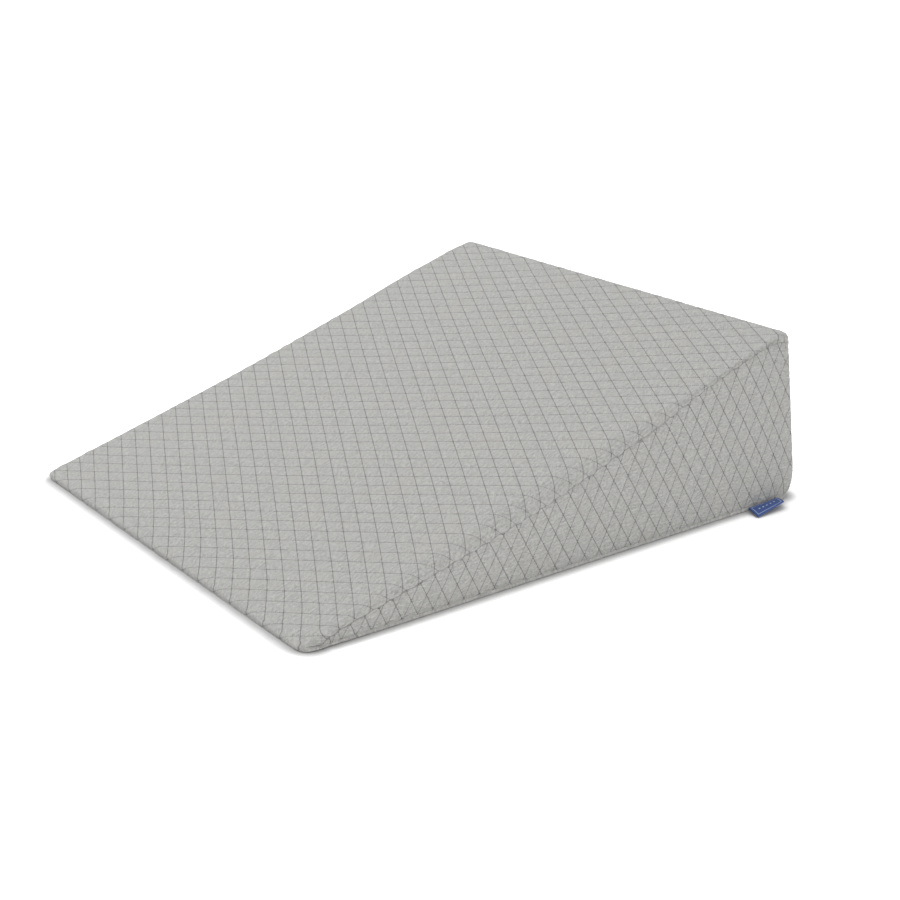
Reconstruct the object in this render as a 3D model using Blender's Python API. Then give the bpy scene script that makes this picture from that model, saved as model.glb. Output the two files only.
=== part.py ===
"""Wedge pillow: a foam wedge in a quilted jersey cover, with a folded woven tab in its bottom seam.

Metres, +Z up. The origin is the middle of the base, on the surface that the pillow rests on. +X runs
from the thin edge to the tall end, and -Y is the side with the tab.

The pillow is one filled solid. Its top panel is a strip that starts under the thin edge, climbs the
slope, turns over the tall edge and goes down the back. Along its two long sides the strip rolls over a
soft edge to the seam, and below the seam lie the two side panels. The quilting is raised in the
points: a rhombus of stitch lines is drawn in, and the middle of each diamond stands proud.
"""
import bmesh
import bpy
import math
import numpy as np
from mathutils.geometry import delaunay_2d_cdt

# Overall size of the pillow
LENGTH = 0.66
WIDTH = 0.60
HEIGHT = 0.20

# Outline seen from the side
THIN_EDGE = 0.0085          # height of the thin edge
BACK_LEAN = 0.023           # how far the top of the back leans in over its foot
FILLET_STEPS = 5            # straight pieces round each corner of the outline

# Soft edge between the top and a side: share of the slope from the thin edge, radius of the edge.
# The seam lies at the lower end of the soft edge, so it drops furthest a little below mid-slope.
SOFT_EDGE = (
    (0.00, 0.0040),
    (0.15, 0.0105),
    (0.30, 0.0155),
    (0.45, 0.0185),
    (0.60, 0.0155),
    (0.70, 0.0125),
    (0.79, 0.0060),
    (0.90, 0.0032),
    (1.00, 0.0035),
)
EDGE_TURNS = (0, 30, 60, 90)    # degrees of turn where the soft edge has points

# Corners seen from above, rounded at the thin end and at the tall end
THIN_CORNER = 0.008
TALL_CORNER = 0.006
CORNER_REACH = 0.045        # how far along the pillow a rounded corner still bends the cloth

# Quilting: the long diagonal of a diamond lies across the top and stands upright on the sides
DIAMOND_SHORT = 0.0198
DIAMOND_LONG = 0.0366
PUFF = 0.0012               # how far the middle of a diamond stands over its stitch lines
TOP_FIRST_COLUMN = 0.0063   # first column of the pattern on the slope, from the thin edge
SIDE_TURN = math.radians(2.8)   # the side panels are cut a little off the pattern's grain
SIDE_PHASE = (0.0033, 0.0063)   # a stitch crossing on the side, along X and above the base
STITCH_MARGIN = 0.005       # the pattern's own points stay this far inside a side panel
COLUMN_MARGIN = 0.0025      # a column of the pattern nearer to another column than this is left out

# Seams
SEAM_PULL = 0.0015          # how far the seams are drawn in
REAR_SEAM_DROP = 0.012      # the seam on the back lies this far past the middle of the tall edge
BASE_WELT = (               # height above the base, how far the side is drawn in there
    (0.0016, 0.0003),
    (0.0032, 0.0013),
)
BASE_INSET = 0.0015         # the flat base is this much smaller all round
BASE_STEP = 0.010           # spacing of the points along the foot of a side
WELT_CLEARANCE = 0.006      # the rows of the welt stop this far short of the panel's ends

# Folded woven tab in the bottom seam of the near side: its two corners in the seam and its two free
# corners, each at the middle of the fold's thickness
TAB_CORNERS = {
    "seam, thin end": (0.2550, -0.3005, 0.0032),
    "seam, tall end": (0.3000, -0.3005, 0.0048),
    "free, thin end": (0.2490, -0.3216, 0.0012),
    "free, tall end": (0.2928, -0.3188, 0.0078),
}
TAB_LAYER = 0.0005          # thickness of one layer of the tape
TAB_GAP = 0.0003            # air between the two layers
TAB_STEPS = 10              # pieces along the tab
TAB_DEPTH_STEPS = 4         # pieces from the seam to the fold
TAB_FOLD_STEPS = 6          # pieces round the outside of the fold, and half as many round the inside
TAB_SAG = 0.0010            # the tab bends down a little between its seam and its fold

# Finishes: colour, roughness
JERSEY = ((0.45, 0.45, 0.44), 0.90)
WOVEN_TAPE = ((0.025, 0.075, 0.30), 0.75)


def clear_scene():
    for item in list(bpy.data.objects):
        bpy.data.objects.remove(item, do_unlink=True)


def principled(name, finish):
    colour, roughness = finish
    material = bpy.data.materials.new(name)
    material.use_nodes = True
    shader = material.node_tree.nodes["Principled BSDF"]
    shader.inputs["Base Color"].default_value = (*colour, 1.0)
    shader.inputs["Roughness"].default_value = roughness
    shader.inputs["Metallic"].default_value = 0.0
    return material


def make_object(name, points, faces, material):
    mesh = bpy.data.meshes.new(name)
    mesh.from_pydata([tuple(map(float, p)) for p in points], [], faces)
    mesh.validate()
    item = bpy.data.objects.new(name, mesh)
    bpy.context.scene.collection.objects.link(item)
    mesh.materials.append(material)
    mesh.shade_smooth()
    mesh.set_sharp_from_angle(angle=math.radians(50))
    return item


def smooth_table(rows, at):
    """A smooth curve through the rows of a two-column table: a cubic between each pair of rows."""
    x, y = np.array(rows, float).T
    at = np.clip(at, x[0], x[-1])
    slope = np.gradient(y, x)
    k = np.clip(np.searchsorted(x, at) - 1, 0, len(x) - 2)
    span = x[k + 1] - x[k]
    t = (at - x[k]) / span
    start = (1 + 2 * t) * (1 - t) ** 2 * y[k] + t * (1 - t) ** 2 * span * slope[k]
    end = t * t * (3 - 2 * t) * y[k + 1] + t * t * (t - 1) * span * slope[k + 1]
    return start + end


def draw_in(line_one, line_two):
    """How far a point lies below a diamond's crown: nothing in its middle, PUFF on a stitch line."""
    nearest = np.minimum(abs(line_one - np.round(line_one)), abs(line_two - np.round(line_two)))
    return PUFF * (1 - 2 * nearest)


class SideOutline:
    """The outline seen from the side, from under the thin edge over the top to the foot of the back."""

    CORNERS = (     # along X, height, rounding before the corner, rounding after it
        (-LENGTH / 2, 0.0, 0.0042, 0.0042),
        (-LENGTH / 2, THIN_EDGE, 0.0042, 0.0070),
        (LENGTH / 2 - BACK_LEAN, HEIGHT, 0.0070, 0.0070),
        (LENGTH / 2, 0.0, 0.0270, 0.0120),
    )

    def __init__(self):
        corners = np.array([c[:2] for c in self.CORNERS])
        t = np.linspace(0, 1, FILLET_STEPS + 1)[:, None]
        points = []
        self.fillets = []
        for k, (x, z, before, after) in enumerate(self.CORNERS):
            corner = np.array([x, z])
            came_from = (corners[k - 1] - corner) / np.linalg.norm(corners[k - 1] - corner)
            goes_to = corners[(k + 1) % 4] - corner
            goes_to = goes_to / np.linalg.norm(goes_to)
            start = corner + came_from * before
            end = corner + goes_to * after
            curve = (1 - t) ** 2 * start + 2 * t * (1 - t) * corner + t * t * end
            if points and np.allclose(points[-1], curve[0], atol=1e-4):
                curve = curve[1:]
            self.fillets.append((len(points), len(points) + len(curve) - 1))
            points.extend(curve)
        self.points = np.array(points)
        steps = np.linalg.norm(np.diff(self.points, axis=0), axis=1)
        self.distance = np.concatenate([[0.0], np.cumsum(steps)])
        direction = np.gradient(self.points, self.distance, axis=0)
        normal = np.stack([-direction[:, 1], direction[:, 0]], axis=1)
        self.normal = normal / np.linalg.norm(normal, axis=1)[:, None]

    def at(self, distance):
        place = [np.interp(distance, self.distance, c) for c in self.points.T]
        normal = [np.interp(distance, self.distance, c) for c in self.normal.T]
        return np.stack(place, axis=-1), np.stack(normal, axis=-1)

    def corner_distance(self, k):
        first, last = self.fillets[k]
        return (self.distance[first] + self.distance[last]) / 2


def strip_columns(outline):
    """Where the strip has points along the outline: the pattern's columns, the corners and the seam."""
    slope_start = outline.corner_distance(1)
    seam = outline.corner_distance(2) + REAR_SEAM_DROP
    fixed = [outline.distance[k] for first, last in outline.fillets for k in range(first, last + 1)]
    fixed = np.array(sorted(set(np.round(fixed + [seam], 6))))
    half = DIAMOND_SHORT / 2
    count = int(outline.distance[-1] / half)
    pattern = slope_start + TOP_FIRST_COLUMN + half * np.arange(-1, count)
    pattern = pattern[(pattern > 0) & (pattern < outline.distance[-1])]
    free = [p for p in pattern if abs(fixed - p).min() > COLUMN_MARGIN]
    return np.array(sorted([*fixed, *free])), slope_start, seam


def top_strip():
    """The strip as a grid of points, with how far each is drawn in. Rows run from -Y to +Y."""
    outline = SideOutline()
    columns, slope_start, seam = strip_columns(outline)
    place, normal = outline.at(columns)
    slope_length = outline.corner_distance(2) - slope_start
    radius = smooth_table(SOFT_EDGE, (columns - slope_start) / slope_length)[:, None]

    turn = np.radians(EDGE_TURNS)[None, :]
    edge_y = WIDTH / 2 - radius + radius * np.sin(turn)
    edge_drop = radius * (1 - np.cos(turn))
    edge_across = WIDTH / 2 - radius + radius * turn
    half = DIAMOND_LONG / 2
    rows = int((WIDTH / 2 - max(r for _, r in SOFT_EDGE)) / half)
    flat = half * np.arange(-rows, rows + 1)[None, :] * np.ones_like(radius)

    y = np.hstack([-edge_y[:, ::-1], flat, edge_y])
    across = np.hstack([-edge_across[:, ::-1], flat, edge_across])
    drop = np.hstack([edge_drop[:, ::-1], np.zeros_like(flat), edge_drop])
    x = place[:, :1] - normal[:, :1] * drop
    z = np.maximum(place[:, 1:] - normal[:, 1:] * drop, 0.0)
    z[[0, -1]] = 0.0

    along = (columns - slope_start - TOP_FIRST_COLUMN)[:, None] / (DIAMOND_SHORT / 2)
    pull = draw_in((along + across / half) / 2, (along - across / half) / 2)
    pull[abs(columns - seam) < 1e-6] = SEAM_PULL
    pull[:, [0, -1]] = SEAM_PULL
    pull[[0, -1]] = 0.0
    return np.stack([x, y, z], axis=-1), pull


def grid_faces(pull):
    """Two triangles a cell, split along the deeper diagonal so that the split follows the stitching."""
    count, rows = pull.shape
    index = np.arange(count * rows).reshape(count, rows)
    a, b, c, d = index[:-1, :-1], index[1:, :-1], index[1:, 1:], index[:-1, 1:]
    depth = pull.ravel()
    split_ac = (depth[a] + depth[c] >= depth[b] + depth[d]).ravel()
    a, b, c, d = (v.ravel() for v in (a, b, c, d))
    first = np.where(split_ac[:, None], np.stack([a, b, c], 1), np.stack([a, b, d], 1))
    second = np.where(split_ac[:, None], np.stack([a, c, d], 1), np.stack([b, c, d], 1))
    return np.vstack([first, second])


def side_lattice():
    """The pattern's points on a side panel: along X, height, and the point's two whole numbers."""
    reach = math.ceil(LENGTH / DIAMOND_SHORT)
    rise = math.ceil(LENGTH / DIAMOND_LONG)
    i, j = np.meshgrid(np.arange(-reach, reach + 1), np.arange(-rise, rise + 1), indexing="ij")
    along, up = i * DIAMOND_SHORT / 2, j * DIAMOND_LONG / 2
    x = SIDE_PHASE[0] + along * math.cos(SIDE_TURN)
    z = SIDE_PHASE[1] + up + along * math.sin(SIDE_TURN)
    return x, z, i, j


def distance_to_line(points, line):
    """Shortest distance from each point to a line of straight pieces."""
    start, step = line[:-1], np.diff(line, axis=0)
    length = np.maximum((step ** 2).sum(1), 1e-12)
    t = np.clip(((points[:, None] - start) * step).sum(2) / length, 0, 1)
    return np.linalg.norm(points[:, None] - start - t[..., None] * step, axis=2).min(1)


def side_panel(seam):
    """A side panel below its seam, seen flat: points, how far each is drawn in, and triangles.

    seam is the line of seam points from the thin end to the tall end, both ends on the base. The
    panel's points are those of the seam first, then the foot's, the welt's and the pattern's.
    """
    steps = round((seam[-1, 0] - seam[0, 0]) / BASE_STEP)
    foot_x = np.linspace(seam[0, 0], seam[-1, 0], steps + 1)[1:-1]
    foot = np.stack([foot_x, np.zeros_like(foot_x)], axis=1)
    welt = []
    for height, inset in BASE_WELT:
        inner = (foot_x > foot_x[0] + WELT_CLEARANCE) & (foot_x < foot_x[-1] - WELT_CLEARANCE)
        welt.extend((x, height, inset) for x in foot_x[inner])
    welt = np.array(welt)

    x, z, i, j = side_lattice()
    lattice = np.stack([x.ravel(), z.ravel()], axis=1)
    outline = np.vstack([seam, foot[::-1]])
    seam_height = np.interp(lattice[:, 0], seam[:, 0], seam[:, 1])
    inside = (lattice[:, 0] > seam[0, 0]) & (lattice[:, 0] < seam[:, 0].max())
    inside &= (lattice[:, 1] > BASE_WELT[-1][0] + STITCH_MARGIN) & (lattice[:, 1] < seam_height)
    inside &= distance_to_line(lattice, np.vstack([outline, seam[:1]])) > STITCH_MARGIN
    number = -np.ones(len(lattice), int)
    number[inside] = np.arange(inside.sum()) + len(outline) + len(welt)
    number = number.reshape(i.shape)

    edges = []
    crossing = (i + j) % 2 == 0
    for step in (1, -1):
        one = number[:-1, 1:] if step < 0 else number[:-1, :-1]
        two = number[1:, :-1] if step < 0 else number[1:, 1:]
        is_line = crossing[:-1, 1:] if step < 0 else crossing[:-1, :-1]
        keep = (one >= 0) & (two >= 0) & is_line
        edges.extend(zip(one[keep].tolist(), two[keep].tolist()))

    points = np.vstack([outline, welt[:, :2], lattice[inside]])
    crown = np.where(crossing.ravel()[inside], PUFF, 0.0)
    pull = np.concatenate([np.full(len(seam), SEAM_PULL), np.zeros(len(foot)), welt[:, 2], crown])
    border = list(range(len(outline)))
    flat, _, triangles, source, _, _ = delaunay_2d_cdt(
        [tuple(p) for p in points.tolist()], edges, [border[::-1]], 1, 1e-7)
    if len(flat) != len(points):
        raise ValueError("the side panel's lines cross")
    triangles = np.array([[source[v][0] for v in t] for t in triangles])
    a, b, c = (points[triangles[:, k]] for k in range(3))
    turned = np.cross(b - a, c - a) < 0
    triangles[turned] = triangles[turned][:, ::-1]
    return points, pull, triangles, len(foot)


def round_corners(points):
    """Rounds the four upright corners: near a side the ends step in along a circle."""
    x, y, z = points.T.copy()
    back = LENGTH / 2 - BACK_LEAN * z / HEIGHT
    for radius, way, gap in ((THIN_CORNER, 1, x + LENGTH / 2), (TALL_CORNER, -1, back - x)):
        into = np.clip(abs(y) - (WIDTH / 2 - radius), 0, radius)
        inset = radius - np.sqrt(radius ** 2 - into ** 2)
        x = x + way * inset * np.clip(1 - gap / CORNER_REACH, 0, 1)
    return np.stack([x, y, z], axis=1)


def vertex_normals(points, faces):
    mesh = bmesh.new()
    verts = [mesh.verts.new(p) for p in points.tolist()]
    for face in faces:
        mesh.faces.new([verts[v] for v in face])
    mesh.normal_update()
    normals = np.array([v.normal[:] for v in verts])
    mesh.free()
    return normals


def cushion():
    """The strip, the two side panels and the base in one closed skin, drawn in by the stitching."""
    grid, pull = top_strip()
    count, rows = pull.shape
    points = [grid.reshape(-1, 3)]
    pulls = [pull.ravel()]
    faces = grid_faces(pull).tolist()
    total = count * rows
    feet = {}
    for way, row in ((-1, 0), (1, rows - 1)):
        seam = grid[:, row][:, [0, 2]]
        flat, panel_pull, triangles, foot = side_panel(seam)
        extra = len(flat) - count
        number = np.concatenate([np.arange(count) * rows + row, total + np.arange(extra)])
        placed = np.stack([flat[count:, 0], np.full(extra, way * WIDTH / 2), flat[count:, 1]], axis=1)
        points.append(placed)
        pulls.append(panel_pull[count:])
        triangles = number[triangles]
        faces.extend((triangles if way < 0 else triangles[:, ::-1]).tolist())
        feet[way] = number[count:count + foot].tolist()
        total += extra

    # The foot of each side runs from the tall end to the thin end, as side_panel lists it
    thin_foot = list(range(rows))
    tall_foot = list(range((count - 1) * rows, count * rows))
    base = feet[-1][::-1] + tall_foot + feet[1] + thin_foot[::-1]
    faces.append(base[::-1])

    points = round_corners(np.vstack(points))
    on_base = np.array(sorted(set(base)))
    shrink = np.array([1 - BASE_INSET / (LENGTH / 2), 1 - BASE_INSET / (WIDTH / 2), 1.0])
    points[on_base] *= shrink
    points -= vertex_normals(points, faces) * np.concatenate(pulls)[:, None]
    points[:, 2] = np.maximum(points[:, 2], 0.0)

    # The stitching draws the outline in by a hair, so the finished pillow is let out to its size
    low, high = points.min(0), points.max(0)
    middle = np.array([(low[0] + high[0]) / 2, (low[1] + high[1]) / 2, 0.0])
    points = (points - middle) * np.array([LENGTH, WIDTH, HEIGHT]) / (high - low)
    return make_object("cushion", points, faces, principled("quilted jersey", JERSEY))


def tab_section():
    """The fold of the tab: share of the way from the seam to the fold, and offset across the tape."""
    outer, inner = TAB_LAYER + TAB_GAP / 2, TAB_GAP / 2
    depth = np.linalg.norm(np.subtract(TAB_CORNERS["free, thin end"], TAB_CORNERS["seam, thin end"]))
    fold = 1 - outer / depth
    straight = np.linspace(0, fold, TAB_DEPTH_STEPS + 1)
    turn = np.radians(np.linspace(90, -90, TAB_FOLD_STEPS + 1))
    section = [(s, outer) for s in straight[:-1]]
    section += [(fold + outer / depth * math.cos(a), outer * math.sin(a)) for a in turn]
    section += [(s, -outer) for s in straight[-2::-1]]
    section += [(s, -inner) for s in straight[:-1]]
    section += [(fold + inner / depth * math.cos(a), inner * math.sin(a)) for a in turn[::-2]]
    section += [(s, inner) for s in straight[-2::-1]]
    return section


def tab():
    """A short woven tape folded double, with its raw ends in the seam and its fold outwards."""
    corners = {name: np.array(place) for name, place in TAB_CORNERS.items()}
    section = tab_section()
    points = []
    for k in range(TAB_STEPS + 1):
        t = k / TAB_STEPS
        root = corners["seam, thin end"] * (1 - t) + corners["seam, tall end"] * t
        tip = corners["free, thin end"] * (1 - t) + corners["free, tall end"] * t
        for share, offset in section:
            place = root + (tip - root) * share
            sag = TAB_SAG * 4 * share * (1 - share)
            points.append(place + np.array([0.0, 0.0, offset + sag]))
    count = len(section)
    faces = []
    for k in range(TAB_STEPS):
        for n in range(count):
            m = (n + 1) % count
            faces.append((k * count + n, k * count + m, (k + 1) * count + m, (k + 1) * count + n))
    faces.append(tuple(range(count))[::-1])
    faces.append(tuple(range(TAB_STEPS * count, (TAB_STEPS + 1) * count)))
    return make_object("label", points, faces, principled("woven tape", WOVEN_TAPE))


clear_scene()
cushion()
tab()
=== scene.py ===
# %% [markdown]
# # A wedge pillow in a quilted jersey cover
# The real object is a block of foam in a sewn cover. The cover is cut from a thin quilted jersey: two
# layers of knit with a little wadding between them, held together by a rhombus of stitch lines. The
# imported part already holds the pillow's true size and its raised quilting, so it is the fixed frame
# here, and everything below is made around it in the same metres.

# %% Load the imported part
import math

import bpy
import numpy as np
from mathutils import Matrix, Vector
from mathutils.geometry import delaunay_2d_cdt


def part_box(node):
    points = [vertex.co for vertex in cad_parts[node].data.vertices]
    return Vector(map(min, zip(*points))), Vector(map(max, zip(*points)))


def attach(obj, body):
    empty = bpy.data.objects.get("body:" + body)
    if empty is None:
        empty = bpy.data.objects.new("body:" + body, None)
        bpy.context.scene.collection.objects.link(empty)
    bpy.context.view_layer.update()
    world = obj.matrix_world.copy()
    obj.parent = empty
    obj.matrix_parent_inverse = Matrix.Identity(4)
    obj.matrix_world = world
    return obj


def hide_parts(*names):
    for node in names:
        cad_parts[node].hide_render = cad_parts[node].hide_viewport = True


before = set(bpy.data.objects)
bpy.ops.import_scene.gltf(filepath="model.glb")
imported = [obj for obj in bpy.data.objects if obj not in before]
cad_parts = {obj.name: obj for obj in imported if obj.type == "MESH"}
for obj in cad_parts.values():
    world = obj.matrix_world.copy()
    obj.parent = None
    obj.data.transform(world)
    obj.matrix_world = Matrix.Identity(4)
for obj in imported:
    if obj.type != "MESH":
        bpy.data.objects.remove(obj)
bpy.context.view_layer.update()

cushion_low, cushion_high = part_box("cushion")
LENGTH, WIDTH, HEIGHT = (round(size, 4) for size in cushion_high - cushion_low)
print("pillow", LENGTH, "long,", WIDTH, "wide,", HEIGHT, "high")

# %% [markdown]
# ## The camera
# The photograph was taken from a little above, looking at the near corner of the thin edge. A
# perspective camera needs a place, a direction and a lens. The direction is written as a turn round
# the pillow and a height above the horizon, as a photographer would say it, and the small sideways
# steps put the pillow where it stands in the frame.

# %% Camera
CAMERA_TURN = math.radians(-35.306)     # round the pillow, from straight in front of the near side
CAMERA_RISE = math.radians(19.972)
CAMERA_ROLL = math.radians(-1.179)
CAMERA_DISTANCE = 1.9448
CAMERA_STEP = (-0.04772, 0.05037)       # how far AIMED_AT lies right of and above the lens axis
CAMERA_LENS = 66.864                    # millimetres, on a sensor 36 mm wide
AIMED_AT = Vector((0.0, 0.0, 0.1))

back = Vector((math.sin(CAMERA_TURN) * math.cos(CAMERA_RISE),
               -math.cos(CAMERA_TURN) * math.cos(CAMERA_RISE),
               math.sin(CAMERA_RISE)))
level_right = Vector((0, 0, 1)).cross(back).normalized()
level_up = back.cross(level_right)
right = level_right * math.cos(CAMERA_ROLL) + level_up * math.sin(CAMERA_ROLL)
up = level_up * math.cos(CAMERA_ROLL) - level_right * math.sin(CAMERA_ROLL)

camera = bpy.data.objects.new("camera", bpy.data.cameras.new("camera"))
bpy.context.scene.collection.objects.link(camera)
place = AIMED_AT + back * CAMERA_DISTANCE - right * CAMERA_STEP[0] - up * CAMERA_STEP[1]
camera.matrix_world = Matrix.Translation(place) @ Matrix((right, up, back)).transposed().to_4x4()
camera.data.lens = CAMERA_LENS
camera.data.sensor_width = 36
bpy.context.scene.camera = camera
print("camera at", [round(v, 3) for v in place])

# %% [markdown]
# ## The pillow's outline
# Seen from the side the foam is a wedge with four rounded corners. Each corner is a quadratic curve
# that leaves one side a little before the corner and joins the next a little after it, so its
# direction at both ends is exactly that of the straight sides, and the normals stay smooth. The
# cloth's own ruler runs along this outline: it starts under the thin edge, climbs the slope, turns
# over the tall edge and goes down the back.

# %% Outline seen from the side
THIN_EDGE = 0.0085          # height of the thin edge
BACK_LEAN = 0.023           # the tall edge stands this far in from the foot of the back
CORNER_STEPS = 12           # steps round each corner
OUTLINE_CORNERS = np.array([    # along X, height, rounding before the corner, rounding after it
    (-LENGTH / 2, 0.0, 0.0042, 0.0042),
    (-LENGTH / 2, THIN_EDGE, 0.0042, 0.0070),
    (LENGTH / 2 - BACK_LEAN, HEIGHT, 0.0070, 0.0070),
    (LENGTH / 2, 0.0, 0.0270, 0.0120),
])


def unit(vectors):
    """The vectors at length 1."""
    return vectors / np.linalg.norm(vectors, axis=-1, keepdims=True)


def side_outline():
    """Points, outward normals and distance along the outline.

    A corner's curve is (1-t)^2 start + 2t(1-t) corner + t^2 end, for t from 0 to 1. Its direction is
    (1-t)(corner - start) + t(end - corner), and the normal is that direction turned a quarter left.
    """
    corner = OUTLINE_CORNERS[:, :2]
    start = corner + unit(np.roll(corner, 1, axis=0) - corner) * OUTLINE_CORNERS[:, 2:3]
    end = corner + unit(np.roll(corner, -1, axis=0) - corner) * OUTLINE_CORNERS[:, 3:4]
    t = np.linspace(0, 1, CORNER_STEPS + 1)[None, :, None]
    start, corner, end = start[:, None], corner[:, None], end[:, None]
    points = ((1 - t) ** 2 * start + 2 * t * (1 - t) * corner + t ** 2 * end).reshape(-1, 2)
    direction = unit((1 - t) * (corner - start) + t * (end - corner)).reshape(-1, 2)
    steps = np.linalg.norm(np.diff(points, axis=0), axis=1)
    distance = np.concatenate([[0.0], np.cumsum(np.maximum(steps, 1e-7))])
    return points, np.stack([-direction[:, 1], direction[:, 0]], axis=1), distance


outline_points, outline_normals, outline_distance = side_outline()


def outline_at(distance):
    """Place and outward normal at a distance along the outline, both as x and z."""
    place = [np.interp(distance, outline_distance, c) for c in outline_points.T]
    normal = [np.interp(distance, outline_distance, c) for c in outline_normals.T]
    return place, normal


def corner_distance(k):
    """Distance along the outline of the middle of corner k."""
    first = outline_distance[k * (CORNER_STEPS + 1)]
    last = outline_distance[(k + 1) * (CORNER_STEPS + 1) - 1]
    return (first + last) / 2


SLOPE_START, SLOPE_END = corner_distance(1), corner_distance(2)
print("slope", round(SLOPE_END - SLOPE_START, 4), "m, outline", round(outline_distance[-1], 4), "m")

# %% [markdown]
# ## The soft long edges
# Along its two long sides the top panel rolls over the edge of the foam before it meets the side
# panel, and the roll is largest a little below the middle of the slope. A table gives the radius at a
# few places, and a cubic between each pair of rows makes one smooth edge of it. The strip's two
# coordinates, along and across, are lengths of cloth: past the flat part the cloth follows a circle.

# %% The strip of cloth over the top and down the back
SOFT_EDGE = (       # share of the slope from the thin edge, radius of the edge
    (0.00, 0.0040),
    (0.15, 0.0105),
    (0.30, 0.0155),
    (0.45, 0.0185),
    (0.60, 0.0155),
    (0.70, 0.0125),
    (0.79, 0.0060),
    (0.90, 0.0032),
    (1.00, 0.0035),
)


def smooth_table(rows, at):
    """A smooth curve through a two-column table: a cubic between each pair of rows that keeps their
    heights and slopes."""
    x, y = np.array(rows, float).T
    at = np.clip(at, x[0], x[-1])
    slope = np.gradient(y, x)
    k = np.clip(np.searchsorted(x, at) - 1, 0, len(x) - 2)
    span = x[k + 1] - x[k]
    t = (at - x[k]) / span
    start = (1 + 2 * t) * (1 - t) ** 2 * y[k] + t * (1 - t) ** 2 * span * slope[k]
    end = t * t * (3 - 2 * t) * y[k + 1] + t * t * (t - 1) * span * slope[k + 1]
    return start + end


def edge_radius(along):
    """Radius of the soft long edges at a distance along the outline."""
    return smooth_table(SOFT_EDGE, (along - SLOPE_START) / (SLOPE_END - SLOPE_START))


def half_cut(along):
    """Half the width of the strip's cloth: the flat half, less the radius, plus a quarter circle."""
    radius = edge_radius(along)
    return WIDTH / 2 - radius + radius * math.pi / 2


def strip_place(along, across):
    """Where a point of the strip lies. Past the flat part it turns about the soft edge's centre by
    the length of cloth over the radius: it moves out by radius sin(turn), and drops along the
    outline's normal by radius (1 - cos(turn))."""
    (x, z), (normal_x, normal_z) = outline_at(along)
    radius = edge_radius(along)
    flat = WIDTH / 2 - radius
    turn = np.clip((abs(across) - flat) / radius, 0, math.pi / 2)
    y = np.sign(across) * (np.minimum(abs(across), flat) + radius * np.sin(turn))
    drop = radius * (1 - np.cos(turn))
    return np.stack([x - normal_x * drop, y, z - normal_z * drop], axis=-1)


# %% [markdown]
# ## The quilting lines
# A quilting machine sews two families of parallel lines, so each place on the cloth has two numbers
# that count the lines of each family, and a whole number is a stitch line. A perfect machine would
# give a perfect grid. On the real cover the rows run a little off the edge and bow by some
# millimetres where the cloth was stretched over the foam, so each panel also has its drift from the
# perfect grid, in millimetres at the panel's rim. Close to the thin edge the lines turn more sharply
# than such a drift can, so the top has a few hooks for them as well.

# %% Quilting lines
MM = 0.001
PLACE_ROUNDS = 16           # rounds in which a place is put right for its drift
DRIFT_RANGE = 1.5           # further from a panel's middle than this many reaches it drifts no more
HOOK_END = 0.0036           # distance along the strip at which the hooks reach their full size
HOOK_MOST = 1.2             # nearness beyond that end up to which they go on growing


def from_line(number):
    """Distance to the nearest stitch line of a family, as a share of a diamond, up to a half."""
    return abs(number - np.round(number))


class Quilting:
    """The stitch lines of one panel of cloth, whose own coordinates are p and q in metres.

    A half diamond is step[0] along p and step[1] along q. The count of half diamonds from the first
    one is (p - middle + drift) / step. Half the sum and half the difference of the two counts are
    the numbers of the two families of lines. The drift is a sum of x, y, xx, xy, yy, xxx, xxy, xyy
    and yyy, where x and y run from -1 to 1 over the panel's reach. Where the cloth is drawn over the
    thin edge the lines also hook. A hook moves one family of lines by a share of a diamond that
    grows towards the edge as a power of the nearness, times 1, y and yy.
    """

    def __init__(self, middle, reach, step, first, drift_along, drift_across, hooks=()):
        self.middle, self.reach, self.step, self.first = middle, reach, step, first
        self.drift_along, self.drift_across, self.hooks = drift_along, drift_across, hooks

    def drift(self, p, q):
        """How far the lines have drifted along p and along q at a place, in metres."""
        x = np.clip((p - self.middle[0]) / self.reach[0], -DRIFT_RANGE, DRIFT_RANGE)
        y = np.clip((q - self.middle[1]) / self.reach[1], -DRIFT_RANGE, DRIFT_RANGE)
        terms = (x, y, x * x, x * y, y * y, x ** 3, x * x * y, x * y * y, y ** 3)
        along = sum(mm * MM * term for mm, term in zip(self.drift_along, terms))
        across = sum(mm * MM * term for mm, term in zip(self.drift_across, terms))
        for family, over, power, shares in self.hooks:
            near = np.clip(1 - (p - HOOK_END) / over, 0, HOOK_MOST) ** power
            moved = near * sum(share * y ** k for k, share in enumerate(shares))
            along = along + moved * self.step[0]
            across = across + moved * self.step[1] * (1 if family == 1 else -1)
        return along, across

    def numbers(self, p, q):
        """The numbers of a place in the first and the second family of lines."""
        along, across = self.drift(p, q)
        i = self.first[0] + (p - self.middle[0] + along) / self.step[0]
        j = self.first[1] + (q - self.middle[1] + across) / self.step[1]
        return (i + j) / 2, (i - j) / 2

    def places(self, one, two):
        """The place with these two numbers: guessed without drift, then put right again and again."""
        straight_p = self.middle[0] + (one + two - self.first[0]) * self.step[0]
        straight_q = self.middle[1] + (one - two - self.first[1]) * self.step[1]
        p, q = straight_p, straight_q
        for _ in range(PLACE_ROUNDS):
            along, across = self.drift(p, q)
            p, q = straight_p - along, straight_q - across
        return p, q


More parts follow.
